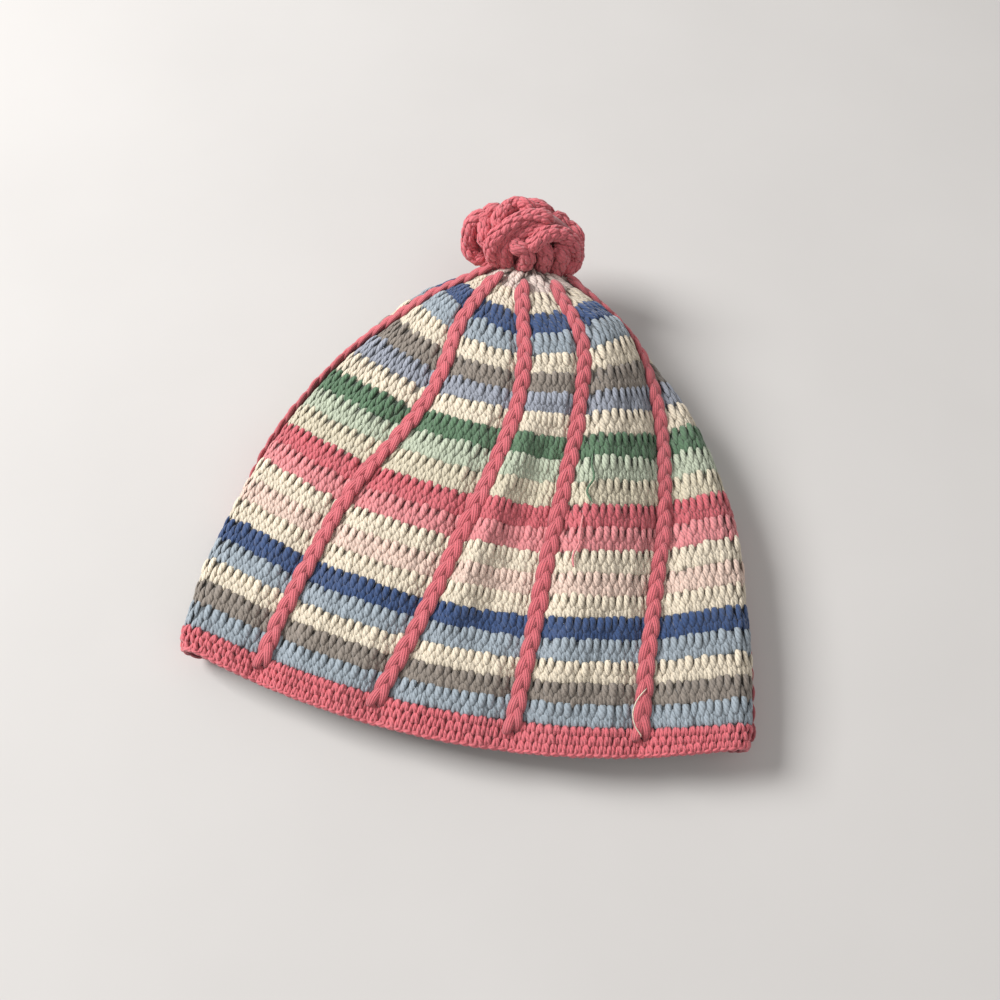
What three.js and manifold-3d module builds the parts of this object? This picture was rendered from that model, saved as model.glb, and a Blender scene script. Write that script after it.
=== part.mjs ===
// A crocheted bell hat that lies flat on its side: coloured rounds of tall stitches from the crown
// to the hem, nine braided ribs, a hem band and a pompom of curled cords. Millimetres, +Z up,
// the crown toward +Y and the hem toward -Y. The wall is hollow and open at the hem.

import * as THREE from 'three';
import { mergeVertices } from 'three/addons/utils/BufferGeometryUtils.js';
import Module from 'manifold-3d';

// Driving dimensions
const HEM_WIDTH = 251;        // across the hem between its two folds, in the middle of the wall
const HAT_LENGTH = 241;       // from the middle of the crown to the hem's foremost point
const WALL = 3.5;             // the thickness of the crocheted fabric
const PANEL_BULGE = 4.2;      // how far the fabric swells between two ribs
const MOUTH_OPENING = 7.5;    // clear height between the two layers at the hem
const DOME_RISE = 33;         // how much higher the hollow is at the crown than at the hem
const HEM_LEAN = 0.028;       // each round climbs this much to the left for each mm across
const ROUND_GAP = 0.3;        // clearance between a round and the next
const RIB_WIDTH = 8;
const RIB_HEIGHT = 2.9;
const RIB_FOOT_WIDTH = 4.4;   // the rib's flat underside
const RIB_WAIST = 1.3;        // from the rib's underside up to its widest point
const RIB_SEAT = 0.5;         // clearance between a rib and the fabric under it
const BAND_SWELL = 0.6;       // the share of the panels' bulge that is left at the band's free edge
const POMPOM_HALF_WIDTH = 34.5;
const POMPOM_HALF_HEIGHT = 21;
const POMPOM_HALF_DEPTH = 21;
const POMPOM_SHIFT = -5.5;     // the pompom's middle from the crown's middle, across
const POMPOM_REACH = 13;      // the same, past the crown
const POMPOM_LIFT = 7;        // the same, upward
const POMPOM_TIP = 43;        // degrees that the pompom's face looks down from straight up
const CORD_DIAMETER = 9;
const POMPOM_SEAT = 0.3;      // clearance between the pompom and what it lies on

// Counts
const LAST_ROUND = 22;        // the band's upper edge; the first round is two stitches tall
const HEM_ROUND = 23;
const RIB_START = 1.4;        // rounds from the crown's middle, under the pompom
const RIB_END = 22.1;
const CROWN_MARKS = [0.5, 1, RIB_START];   // rounds that shape the crown's middle
const COLUMNS_IN_PANEL = [6, 4, 4, 4, 6, 6, 4, 4, 6];   // more where the fabric folds round
const RING_SAMPLES = 720;
const SEAT_ROUNDS = 5;        // the part of the crown that the pompom is cut to
const MERGE_DISTANCE = 0.001; // corners nearer than this are one
const LEAST_LENGTH = 1e-9;
const CORD_SIDES = 6;
const CORD_STEPS = 8;
const CORE_DETAIL = 2;        // how finely the pompom's core is faceted
const NORMAL_ROUNDS = 0.2;    // the fabric's slope is read this many rounds up and down
const NORMAL_SHARE = 0.008;   // and this share of the round to each side
const MOST_FOLD = 0.9;        // a fold's radius is at most this share of a round's half width
const PANEL_LEVEL = Math.sin(Math.PI / 4);   // a panel is level over its middle half
const FOLD_FADE = 3;          // rounds over which a fold comes and goes

const TURN = 2 * Math.PI;
const REST = WALL / 2 + PANEL_BULGE;

// Gives each row of a table the names of its columns.
function tableOf(columns, rows) {
  return rows.map((row) => Object.fromEntries(columns.split(' ').map((name, i) => [name, row[i]])));
}

// Each row is a section through the hat at one round. half_width is a share of HEM_WIDTH. The y
// columns are shares of HAT_LENGTH from the hem: on the folds, on the top layer's middle line and
// on the underside's. dome is a share of DOME_RISE. fold_lift and under_lift are shares of the
// height between the two layers, for the folds and for the underside.
const SECTIONS = tableOf('round half_width fold_y top_y under_y dome fold_lift under_lift', [
  [    0, 0.000, 1.000, 1.000, 1.000,  0.76,  1.00,  1.00],
  [    1, 0.052, 0.996, 0.952, 1.037,  0.88,  0.83,  0.70],
  [    2, 0.100, 0.975, 0.896, 1.050,  0.96,  0.68,  0.40],
  [    4, 0.189, 0.913, 0.784, 1.012,  1.00,  0.50,  0.04],
  [    6, 0.267, 0.834, 0.699, 0.921,  0.97,  0.40,  0.00],
  [    9, 0.363, 0.705, 0.575, 0.780,  0.87,  0.30,  0.00],
  [   13, 0.444, 0.523, 0.392, 0.581,  0.67,  0.27,  0.00],
  [   18, 0.488, 0.299, 0.193, 0.340,  0.36,  0.33,  0.00],
  [   22, 0.502, 0.124, 0.050, 0.149,  0.06,  0.48,  0.00],
  [   23, 0.500, 0.083, 0.000, 0.104,  0.00,  0.55,  0.00],
]);

// Where the ribs cross a round, as shares of the way round it: 0 on the right fold, 0.25 on top,
// 0.5 on the left fold. The three ribs that follow on the underside are spaced evenly.
const RIB_PATHS = tableOf('round rib_01 rib_02 rib_03 rib_04 rib_05 rib_06', [
  [     1, -0.090,  0.020,  0.140,  0.275,  0.385,  0.465],
  [     4, -0.093,  0.018,  0.140,  0.245,  0.366,  0.458],
  [     8, -0.050,  0.052,  0.170,  0.246,  0.351,  0.500],
  [    13, -0.020,  0.083,  0.194,  0.274,  0.390,  0.510],
  [    18, -0.008,  0.100,  0.202,  0.298,  0.411,  0.525],
  [    23, -0.004,  0.100,  0.208,  0.327,  0.428,  0.540],
]);
const PLACED_RIBS = ['rib_01', 'rib_02', 'rib_03', 'rib_04', 'rib_05', 'rib_06'];
const RIB_COUNT = COLUMNS_IN_PANEL.length;

// Soft ridges and hollows along the fabric. A column is counted in ribs, so 2.5 is halfway from
// rib_03 to rib_04. rise is a share of PANEL_BULGE, and reach is in columns.
const FOLDS = [
  { name: 'trough beside rib_03', column: 2.35, reach: 0.45, first_round: 7, last_round: 20, rise: -1.1 },
  { name: 'ridge beside rib_04', column: 2.8, reach: 0.3, first_round: 8, last_round: 19, rise: 0.45 },
  { name: 'ridge past rib_03', column: 1.7, reach: 0.4, first_round: 2, last_round: 22, rise: 0.6 },
  { name: 'valley along rib_02', column: 1.0, reach: 0.5, first_round: 4, last_round: 18, rise: -0.7 },
];

// The yarn of each round, from the crown to the hem. The first piece is the two pale first rounds.
const YARNS = {
  blush: 0xe9dcd0,
  cream: 0xe6e0cc,
  navy: 0x3f5c9c,
  sky: 0xa3b9cd,
  taupe: 0x9d9289,
  lavender: 0xa9b6cf,
  green: 0x5e9a6d,
  mint: 0xc6d9c6,
  ivory: 0xd9d8c6,
  coral: 0xe8687a,
  light_coral: 0xe8909a,
  peach: 0xe9cbbd,
};
const ROUND_YARNS = [
  'blush', 'cream', 'navy', 'sky', 'cream', 'taupe', 'lavender', 'cream', 'green', 'mint', 'ivory',
  'coral', 'light_coral', 'cream', 'peach', 'cream', 'navy', 'sky', 'cream', 'taupe', 'sky',
];

// The pompom's cords, as routes over its face. across and up are shares of its half width and half
// height, seen from the hem. The same cords, turned about, cover its back.
const CURLS = [
  { name: 'left side', route: [[-0.80, 0.35], [-0.92, 0.00], [-0.88, -0.45], [-0.74, -0.75]] },
  {
    name: 'left shoulder',
    route: [[-0.74, 0.10], [-0.68, 0.50], [-0.48, 0.68], [-0.28, 0.84], [-0.06, 0.82]],
  },
  {
    name: 'over the top',
    route: [[0.36, 0.60], [0.10, 0.50], [-0.20, 0.26], [-0.42, -0.08], [-0.46, -0.48], [-0.30, -0.80]],
  },
  { name: 'middle curl', route: [[-0.16, -0.10], [0.08, -0.30], [0.16, -0.62], [-0.06, -0.74]] },
  {
    name: 'right arch',
    route: [[0.16, -0.10], [0.34, 0.16], [0.60, 0.28], [0.84, 0.08], [0.90, -0.32], [0.80, -0.60]],
  },
  { name: 'inner right', route: [[0.40, -0.10], [0.46, -0.46], [0.34, -0.82]] },
  { name: 'low right', route: [[0.66, -0.20], [0.68, -0.60], [0.52, -0.82]] },
];
const CURL_DIP = 0.5;         // a cord's ends go this share of the way back to the pompom's middle

function smooth(t) {
  const u = Math.min(Math.max(t, 0), 1);
  return u * u * (3 - 2 * u);
}

// Reads one column of a table at any round, by a cubic through its rows.
function readTable(rows, column, round) {
  const last = rows.length - 1;
  let i = 0;
  while (i < last - 1 && round >= rows[i + 1].round) i += 1;
  const slope = (k) => {
    const before = rows[Math.max(k - 1, 0)];
    const after = rows[Math.min(k + 1, last)];
    return (after[column] - before[column]) / (after.round - before.round);
  };
  const span = rows[i + 1].round - rows[i].round;
  const u = (round - rows[i].round) / span;
  const start = (2 * u ** 3 - 3 * u ** 2 + 1) * rows[i][column] + (u ** 3 - 2 * u ** 2 + u) * span * slope(i);
  const end = (3 * u ** 2 - 2 * u ** 3) * rows[i + 1][column] + (u ** 3 - u ** 2) * span * slope(i + 1);
  return start + end;
}

function sectionAt(round) {
  const read = (column) => readTable(SECTIONS, column, round);
  const height = WALL + MOUTH_OPENING + DOME_RISE * read('dome');
  return {
    half: Math.max(HEM_WIDTH * read('half_width'), 0),
    foldY: HAT_LENGTH * read('fold_y'),
    topY: HAT_LENGTH * read('top_y'),
    underY: HAT_LENGTH * read('under_y'),
    topZ: REST + height,
    foldZ: REST + height * read('fold_lift'),
    underZ: REST + height * Math.max(read('under_lift'), 0),
  };
}

// A round near the crown's middle: a tilted ellipse.
function ellipsePoint(section, share) {
  const turn = TURN * share;
  const rise = Math.sin(turn);
  const [farY, farZ] = rise > 0 ? [section.topY, section.topZ] : [section.underY, section.underZ];
  return new THREE.Vector3(
    section.half * Math.cos(turn),
    section.foldY + (farY - section.foldY) * Math.abs(rise),
    section.foldZ + (farZ - section.foldZ) * Math.abs(rise),
  );
}

// A round lower down: two layers joined by round folds. The top one is domed, the other lies flat.
function flattenedPoint(section, share) {
  const radius = Math.min(section.foldZ - section.underZ, MOST_FOLD * section.half);
  const reach = section.half - radius;
  const domed = section.topZ - section.foldZ - radius;
  const turned = Math.abs(((share + 0.5) % 1) - 0.5);
  const left = share > 0.25 && share < 0.75;
  const fromFold = left ? Math.abs(share - 0.5) : turned;
  const above = share < 0.5;
  const bend = (Math.PI / 2) * radius;
  const along = fromFold * 4 * (bend + reach);
  let x = reach - (along - bend);
  let z = radius;
  if (along < bend) {
    x = reach + radius * Math.cos(along / radius);
    z = radius * Math.sin(along / radius);
  }
  const across = Math.min(Math.max(x / reach, 0), 1);
  const bow = 1 - (x / section.half) ** 2;
  const farY = above ? section.topY : section.underY;
  return new THREE.Vector3(
    left ? -x : x,
    section.foldY + (farY - section.foldY) * bow,
    section.foldZ + (above ? z + domed * (1 - across ** 2) : -z),
  );
}

const rings = new Map();

// The middle line of the wall at one round, as points with their distance round it.
function ringAt(round) {
  const key = round.toFixed(4);
  if (!rings.has(key)) {
    const section = sectionAt(round);
    const flat = smooth(round / SEAT_ROUNDS);
    const points = [];
    const distance = [0];
    for (let i = 0; i <= RING_SAMPLES; i += 1) {
      const share = i / RING_SAMPLES;
      const point = ellipsePoint(section, share);
      if (flat > 0) point.lerp(flattenedPoint(section, share % 1), flat);
      point.y -= HEM_LEAN * point.x;
      points.push(point);
      if (i > 0) distance.push(distance[i - 1] + point.distanceTo(points[i - 1]));
    }
    rings.set(key, { points, distance, girth: distance[RING_SAMPLES] });
  }
  return rings.get(key);
}

function middlePoint(round, share) {
  const ring = ringAt(round);
  const wanted = (share - Math.floor(share)) * ring.girth;
  let i = 1;
  while (i < RING_SAMPLES && ring.distance[i] < wanted) i += 1;
  const step = Math.max(ring.distance[i] - ring.distance[i - 1], LEAST_LENGTH);
  const part = (wanted - ring.distance[i - 1]) / step;
  return ring.points[i - 1].clone().lerp(ring.points[i], part);
}

function ribShare(rib, round) {
  const placed = PLACED_RIBS.map((name) => readTable(RIB_PATHS, name, Math.max(round, RIB_PATHS[0].round)));
  const lap = Math.floor(rib / RIB_COUNT);
  const index = rib - lap * RIB_COUNT;
  const lastPlaced = placed.length - 1;
  if (index <= lastPlaced) return placed[index] + lap;
  const spacing = (1 + placed[0] - placed[lastPlaced]) / (RIB_COUNT - lastPlaced);
  return placed[lastPlaced] + spacing * (index - lastPlaced) + lap;
}

// A column runs from the crown to the hem. Whole columns are ribs, and the rest lie between them.
function columnShare(column, round) {
  const rib = Math.floor(column);
  return THREE.MathUtils.lerp(ribShare(rib, round), ribShare(rib + 1, round), column - rib);
}

// How far the wall stands out from its middle line: the panels swell, and the folds rise and sink.
function swell(column, round) {
  const between = column - Math.floor(column);
  const grown = smooth(round / SEAT_ROUNDS);
  const atHem = THREE.MathUtils.lerp(1, BAND_SWELL, smooth(round - LAST_ROUND));
  let out = Math.min(Math.sin(Math.PI * between) / PANEL_LEVEL, 1) * grown * atHem;
  for (const fold of FOLDS) {
    const away = Math.abs(column - fold.column) / fold.reach;
    const comes = smooth((round - fold.first_round) / FOLD_FADE);
    const goes = smooth((fold.last_round - round) / FOLD_FADE);
    if (away < 1) out += fold.rise * comes * goes * Math.cos((Math.PI / 2) * away) ** 2;
  }
  return PANEL_BULGE * out;
}

function outwardAt(round, share) {
  const here = Math.max(round, NORMAL_ROUNDS);
  const lower = middlePoint(Math.max(round - NORMAL_ROUNDS, NORMAL_ROUNDS), share);
  const upper = middlePoint(Math.min(round + NORMAL_ROUNDS, HEM_ROUND), share);
  const before = middlePoint(here, share - NORMAL_SHARE);
  const after = middlePoint(here, share + NORMAL_SHARE);
  return after.sub(before).cross(upper.sub(lower)).normalize();
}

// A point of the fabric. offset is measured outward from the middle of the wall.
function fabricPoint(round, column, offset) {
  const share = columnShare(column, round);
  const out = outwardAt(round, share).multiplyScalar(swell(column, round) + offset);
  return middlePoint(round, share).add(out);
}

function crownPoint(offset) {
  const out = new THREE.Vector3();
  for (let i = 0; i < RIB_COUNT; i += 1) out.add(outwardAt(0.5, i / RIB_COUNT));
  return middlePoint(0, 0).add(out.normalize().multiplyScalar(offset));
}

const COLUMNS = COLUMNS_IN_PANEL.flatMap(
  (steps, panel) => Array.from({ length: steps }, (_, i) => panel + i / steps),
);

function loopAt(round, offset) {
  return COLUMNS.map((column) => fabricPoint(round, column, offset));
}

// Collects points and triangles for one closed solid.
class Body {
  constructor() {
    this.positions = [];
    this.triangles = [];
  }

  add(points) {
    const first = this.positions.length / 3;
    points.forEach((p) => this.positions.push(p.x, p.y, p.z));
    return points.map((_, i) => first + i);
  }

  // Joins two loops of the same length, which run the same way round the solid.
  join(a, b) {
    a.forEach((_, i) => {
      const next = (i + 1) % a.length;
      this.triangles.push(a[i], b[next], b[i], a[i], a[next], b[next]);
    });
  }

  // The same, with each four-sided face cut along its other diagonal.
  joinAcross(a, b) {
    a.forEach((_, i) => {
      const next = (i + 1) % a.length;
      this.triangles.push(a[i], a[next], b[i], a[next], b[next], b[i]);
    });
  }

  fan(centre, loop) {
    loop.forEach((_, i) => this.triangles.push(centre, loop[(i + 1) % loop.length], loop[i]));
  }

  geometry() {
    const geometry = new THREE.BufferGeometry();
    geometry.setAttribute('position', new THREE.Float32BufferAttribute(this.positions, 3));
    geometry.setIndex(this.triangles);
    geometry.computeVertexNormals();
    return geometry;
  }
}

// A band of fabric between rounds, open at both ends.
function ringGeometry(roundMarks) {
  const body = new Body();
  const outer = roundMarks.map((round) => body.add(loopAt(round, WALL / 2)));
  const inner = roundMarks.map((round) => body.add(loopAt(round, -WALL / 2)));
  const last = roundMarks.length - 1;
  for (let i = 0; i < last; i += 1) {
    body.join(outer[i], outer[i + 1]);
    body.join(inner[i + 1], inner[i]);
  }
  body.joinAcross(inner[0], outer[0]);
  body.join(outer[last], inner[last]);
  return body.geometry();
}

// The closed disc at the crown's middle.
function crownGeometry(roundMarks) {
  const body = new Body();
  const outer = roundMarks.map((round) => body.add(loopAt(round, WALL / 2)));
  const inner = roundMarks.map((round) => body.add(loopAt(round, -WALL / 2)));
  const [outerMiddle] = body.add([crownPoint(WALL / 2)]);
  const [innerMiddle] = body.add([crownPoint(-WALL / 2)]);
  const last = roundMarks.length - 1;
  body.fan(outerMiddle, outer[0]);
  body.fan(innerMiddle, [...inner[0]].reverse());
  for (let i = 0; i < last; i += 1) {
    body.join(outer[i], outer[i + 1]);
    body.join(inner[i + 1], inner[i]);
  }
  body.join(outer[last], inner[last]);
  return body.geometry();
}

// The rib's section at one round. It sits in the valley, so each side is lifted by the panel's slope.
function ribSection(rib, round, grow) {
  const valley = fabricPoint(round, rib, WALL / 2);
  const out = outwardAt(round, ribShare(rib, round));
  const nearest = 1 / Math.max(COLUMNS_IN_PANEL[rib], COLUMNS_IN_PANEL[(rib + RIB_COUNT - 1) % RIB_COUNT]);
  const rightSide = fabricPoint(round, rib - nearest, WALL / 2).sub(valley);
  const leftSide = fabricPoint(round, rib + nearest, WALL / 2).sub(valley);
  const across = leftSide.clone().sub(rightSide);
  across.addScaledVector(out, -across.dot(out)).normalize();
  const slope = (side) => Math.max(side.dot(out) / Math.abs(side.dot(across)), 0);
  const corner = (sideways, up) => valley.clone().addScaledVector(across, sideways).addScaledVector(out, up);
  const foot = RIB_FOOT_WIDTH / 2 + grow;
  const half = RIB_WIDTH / 2 + grow;
  const left = slope(leftSide);
  const right = slope(rightSide);
  const seat = RIB_SEAT + foot * Math.max(left, right) - grow;
  return [
    corner(-half, Math.max(seat + RIB_WAIST, RIB_SEAT + half * right)),
    corner(-foot, seat + RIB_HEIGHT + 2 * grow),
    corner(foot, seat + RIB_HEIGHT + 2 * grow),
    corner(half, Math.max(seat + RIB_WAIST, RIB_SEAT + half * left)),
    corner(foot, seat),
    corner(-foot, seat),
  ];
}

function ribGeometry(rib, grow, lastMark) {
  const marks = [RIB_START];
  for (let round = Math.ceil(RIB_START); round < lastMark; round += 1) marks.push(round);
  marks.push(lastMark);
  const body = new Body();
  const loops = marks.map((round) => body.add(ribSection(rib, round, grow)));
  for (let i = 0; i < loops.length - 1; i += 1) body.join(loops[i], loops[i + 1]);
  const ends = [[...loops[0]].reverse(), loops[loops.length - 1]];
  for (const loop of ends) {
    for (let i = 1; i < loop.length - 1; i += 1) body.triangles.push(loop[0], loop[i], loop[i + 1]);
  }
  return body.geometry();
}

const wasm = await Module();
wasm.setup();

function toSolid(geometry) {
  const bare = geometry.clone();
  bare.deleteAttribute('normal');
  bare.deleteAttribute('uv');
  const merged = mergeVertices(bare, MERGE_DISTANCE);
  const mesh = new wasm.Mesh({
    numProp: 3,
    vertProperties: new Float32Array(merged.attributes.position.array),
    triVerts: new Uint32Array(merged.index.array),
  });
  return new wasm.Manifold(mesh);
}

// The largest of a solid's separate surfaces, so that no sealed pocket stays between the cords.
function outermost(solid) {
  return solid.decompose().reduce((a, b) => (a.volume() > b.volume() ? a : b));
}

function toGeometry(solid) {
  const mesh = solid.getMesh();
  const geometry = new THREE.BufferGeometry();
  geometry.setAttribute('position', new THREE.Float32BufferAttribute(mesh.vertProperties, 3));
  geometry.setIndex(Array.from(mesh.triVerts));
  geometry.computeVertexNormals();
  return geometry;
}

function cordGeometry(points) {
  const section = new THREE.Shape();
  for (let i = 0; i < CORD_SIDES; i += 1) {
    const turn = (TURN * i) / CORD_SIDES;
    const x = (CORD_DIAMETER / 2) * Math.cos(turn);
    const y = (CORD_DIAMETER / 2) * Math.sin(turn);
    if (i === 0) section.moveTo(x, y);
    else section.lineTo(x, y);
  }
  section.closePath();
  const path = new THREE.CatmullRomCurve3(points);
  return new THREE.ExtrudeGeometry(section, { steps: CORD_STEPS, bevelEnabled: false, extrudePath: path });
}

// The crown and its ribs, a little larger, so that the pompom can be cut to lie on them.
function pompomSeat() {
  const body = new Body();
  const marks = [...CROWN_MARKS];
  for (let round = 2; round <= SEAT_ROUNDS; round += 1) marks.push(round);
  const loops = marks.map((round) => body.add(loopAt(round, WALL / 2 + POMPOM_SEAT)));
  const [middle] = body.add([crownPoint(WALL / 2 + POMPOM_SEAT)]);
  const below = middlePoint(SEAT_ROUNDS, 0).lerp(middlePoint(SEAT_ROUNDS, 0.5), 0.5);
  const [floorMiddle] = body.add([below]);
  body.fan(middle, loops[0]);
  for (let i = 0; i < loops.length - 1; i += 1) body.join(loops[i], loops[i + 1]);
  body.fan(floorMiddle, [...loops[loops.length - 1]].reverse());
  let seat = toSolid(body.geometry());
  for (let rib = 0; rib < RIB_COUNT; rib += 1) {
    seat = seat.add(toSolid(ribGeometry(rib, POMPOM_SEAT, SEAT_ROUNDS)));
  }
  return seat;
}

function pompomGeometry() {
  const tip = THREE.MathUtils.degToRad(POMPOM_TIP);
  const up = new THREE.Vector3(0, Math.cos(tip), Math.sin(tip));
  const out = new THREE.Vector3(0, -Math.sin(tip), Math.cos(tip));
  const across = new THREE.Vector3(1, 0, 0);
  const middle = crownPoint(0).add(new THREE.Vector3(POMPOM_SHIFT, POMPOM_REACH, POMPOM_LIFT));
  const halves = [POMPOM_HALF_WIDTH, POMPOM_HALF_HEIGHT, POMPOM_HALF_DEPTH];
  const shell = halves.map((half) => half - CORD_DIAMETER / 2);
  const place = (side, high, deep) => middle.clone()
    .addScaledVector(across, side * shell[0])
    .addScaledVector(up, high * shell[1])
    .addScaledVector(out, deep * shell[2]);
  const core = new THREE.IcosahedronGeometry(1, CORE_DETAIL);
  const frame = new THREE.Matrix4().makeBasis(
    across.multiplyScalar(shell[0]), up.multiplyScalar(shell[1]), out.multiplyScalar(shell[2]),
  );
  frame.setPosition(middle);
  core.applyMatrix4(frame);
  across.normalize();
  up.normalize();
  out.normalize();
  let solid = toSolid(core);
  for (const face of [1, -1]) {
    for (const curl of CURLS) {
      const route = curl.route.map(([side, high]) => {
        const length = Math.hypot(side, high);
        const inside = Math.min(1, 1 / length);
        const deep = Math.sqrt(Math.max(1 - (length * inside) ** 2, 0));
        return place(face * side * inside, high * inside, face * deep);
      });
      const dip = (point) => point.clone().lerp(middle, CURL_DIP);
      const points = [dip(route[0]), ...route, dip(route[route.length - 1])];
      solid = solid.add(toSolid(cordGeometry(points)));
    }
  }
  return toGeometry(outermost(solid.subtract(pompomSeat())));
}

function yarnMaterial(yarn) {
  return new THREE.MeshStandardMaterial({ color: YARNS[yarn], roughness: 0.92, metalness: 0 });
}

const hat = new THREE.Group();

function addPiece(name, geometry, yarn) {
  const mesh = new THREE.Mesh(geometry, yarnMaterial(yarn));
  mesh.name = name;
  hat.add(mesh);
}

// The distance from one round's edge to the middle of the gap, in rounds.
function gapShare(round) {
  const rise = middlePoint(Math.min(round + 0.5, HEM_ROUND), 0.25).distanceTo(middlePoint(round - 0.5, 0.25));
  return ROUND_GAP / 2 / rise;
}

ROUND_YARNS.forEach((yarn, i) => {
  const top = i + 1;
  const foot = i + 2 - gapShare(i + 2);
  const name = `round_${String(i + 1).padStart(2, '0')}`;
  if (i === 0) addPiece(name, crownGeometry([...CROWN_MARKS, foot]), yarn);
  else addPiece(name, ringGeometry([top + gapShare(top), foot]), yarn);
});

addPiece('hem_band', ringGeometry([LAST_ROUND + gapShare(LAST_ROUND), HEM_ROUND - 0.5, HEM_ROUND]), 'coral');

for (let rib = 0; rib < RIB_COUNT; rib += 1) {
  addPiece(`rib_${String(rib + 1).padStart(2, '0')}`, ribGeometry(rib, 0, RIB_END), 'coral');
}

addPiece('pompom', pompomGeometry(), 'coral');

// The hat's frame: the origin is under the middle of its outline, on the surface that it lies on.
const box = new THREE.Box3().setFromObject(hat);
const middle = box.getCenter(new THREE.Vector3());
hat.position.set(-middle.x, -middle.y, -box.min.z);

export default hat;
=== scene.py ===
"""A striped crocheted hat with braided ribs and a pompom of curled cords, lying on its side.

Lengths in the tables and functions are millimetres unless a line says otherwise. The hat's crown
is toward +Y and its hem toward -Y. Whole columns are ribs, and rounds are counted from the crown.
"""
import math

import bpy
import numpy as np
from bpy.props import FloatProperty, FloatVectorProperty, PointerProperty
from bpy.types import Operator, Panel, PropertyGroup
from mathutils import Matrix, Vector


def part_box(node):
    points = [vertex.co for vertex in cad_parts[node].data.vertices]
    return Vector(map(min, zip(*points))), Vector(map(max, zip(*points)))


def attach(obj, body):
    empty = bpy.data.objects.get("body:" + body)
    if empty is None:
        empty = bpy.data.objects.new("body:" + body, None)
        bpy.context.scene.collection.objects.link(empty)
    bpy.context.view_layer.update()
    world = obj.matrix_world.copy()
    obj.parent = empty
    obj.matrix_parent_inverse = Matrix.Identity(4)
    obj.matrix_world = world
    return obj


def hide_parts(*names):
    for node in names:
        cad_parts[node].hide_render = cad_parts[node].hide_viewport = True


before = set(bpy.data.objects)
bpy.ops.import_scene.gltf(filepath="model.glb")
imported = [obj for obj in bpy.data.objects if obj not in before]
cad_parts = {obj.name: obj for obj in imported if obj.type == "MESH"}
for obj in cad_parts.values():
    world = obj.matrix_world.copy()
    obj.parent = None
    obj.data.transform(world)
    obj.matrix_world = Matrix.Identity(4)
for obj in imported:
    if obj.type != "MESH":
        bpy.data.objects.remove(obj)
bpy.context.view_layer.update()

bl_info = {
    "name": "Crocheted Hat",
    "version": (1, 0, 0),
    "blender": (4, 5, 0),
    "location": "View3D > Sidebar > Hat",
    "description": "Builds a striped crocheted hat with braided ribs and a pompom",
    "category": "Add Mesh",
}

MM = 0.001
TAU = 2 * math.pi

# The hat's form, the same sizes as its solids
HEM_WIDTH = 251
HAT_LENGTH = 241
WALL = 3.5
PANEL_BULGE = 4.2
MOUTH_OPENING = 7.5
DOME_RISE = 33
HEM_LEAN = 0.028
BAND_SWELL = 0.6
POMPOM_HALF = (34.5, 21, 21)
POMPOM_PLACE = (-5.5, 13, 7)
POMPOM_TIP = math.radians(43)
CORD_DIAMETER = 9
LAST_ROUND = 22
HEM_ROUND = 23
RIB_START = 1.4
RIB_END = 22.1
RIB_COUNT = 9
SEAT_ROUNDS = 5
MOST_FOLD = 0.9
FOLD_FADE = 3
PANEL_LEVEL = math.sin(math.pi / 4)
REST = WALL / 2 + PANEL_BULGE

# How finely the fabric is read
RING_SAMPLES = 720
ROUND_STEP = 0.125
FIRST_ROUND = 0.05
COLUMN_STEPS = 32
NORMAL_ROUNDS = 0.2
NORMAL_SHARE = 0.008
# The two ends of the solid that the frame's place is read from, and the facets of its panels
SHIFT_ROUNDS = (19, 20)
PANEL_FACETS = (6, 4, 4, 4, 6, 6, 4, 4, 6)

# The stitches. LOBE_CHANCE is how much they differ in lean, size, slip and rise. A pair of lifts is
# what a piece's painted shade runs between, from its hollows, painted darkest, to its tops, painted
# lightest.
RANDOM_SEED = 7
LOBE_SIDES = 6
LOBE_CHANCE = (0.10, 0.08, 0.04, 0.16)
LEAST_HIGH = 0.05
STITCH_SHADE_LIFTS = (-0.6, 2.1)
RIB_CLEARANCE = 2.2
UNDER_RIB_SPREAD = 1.6
BACKING = 0.45
BACKING_MARKS = (0, 0.33, 0.67, 1)
BACKING_STEPS = 12
DISC_STEPS = 4
SEAT_ROW = (0.35, 0.65)
SEAT_MARKS = (0.1, 0.5, 1, 1.5, 2)

# The band, and the chain along its edge, whose reach and end are shares of a stitch
BAND_BACKING = 0.8
BAND_MARKS = (22, 22.33, 22.67, 22.97)
BAND_ROWS = 3
BAND_STITCH = 3.7
BAND_STEPS = 5
EDGE_STITCH = 3.9
EDGE_STEPS = 7
EDGE_REACH = 0.75
EDGE_END = 0.82
EDGE_LEAST = 0.02
EDGE_INSET = 0.04
EDGE_BOW = 0.05
EDGE_SWAY = 0.5
EDGE_WAVE = 3
EDGE_CHANCE = 0.012
EDGE_HALF = (1.35, 1.75)
# The lift that sets the painted shade of the edge chain
EDGE_SHADE_LIFT = 0.6

# The braids, whose links differ in slip, size, sway and rise
BRAID_LINK = 8.6
BRAID_LATE = 0.42
BRAID_STEPS = 9
BRAID_SIDES = 10
BRAID_LEAST_HIGH = 0.1
BRAID_PLIES = 12
BRAID_TWIST = 9
BRAID_CHANCE = (0.35, 0.05, 0.15, 0.12)
FIRST_LINK = 1
LAST_LINK = 4
RIB_OVER_BAND = 0.35
RIB_SAMPLES = 400
# The lifts that a rib's painted shade runs between, from its hollows, painted darkest, to its tops,
# painted lightest
RIB_SHADE_LIFTS = (2.0, 5.9)
RIB_CORE_LIFT = 2.9
RIB_CORE_HALF = (2.9, 1.2)
# The rib's core lies under the arms and is painted near the darkest, as shade under them
RIB_CORE_SHADE = 2.2
RIB_CORE_STEPS = 90
RIB_CORE_INSETS = (0.5, 1.5)

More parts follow.
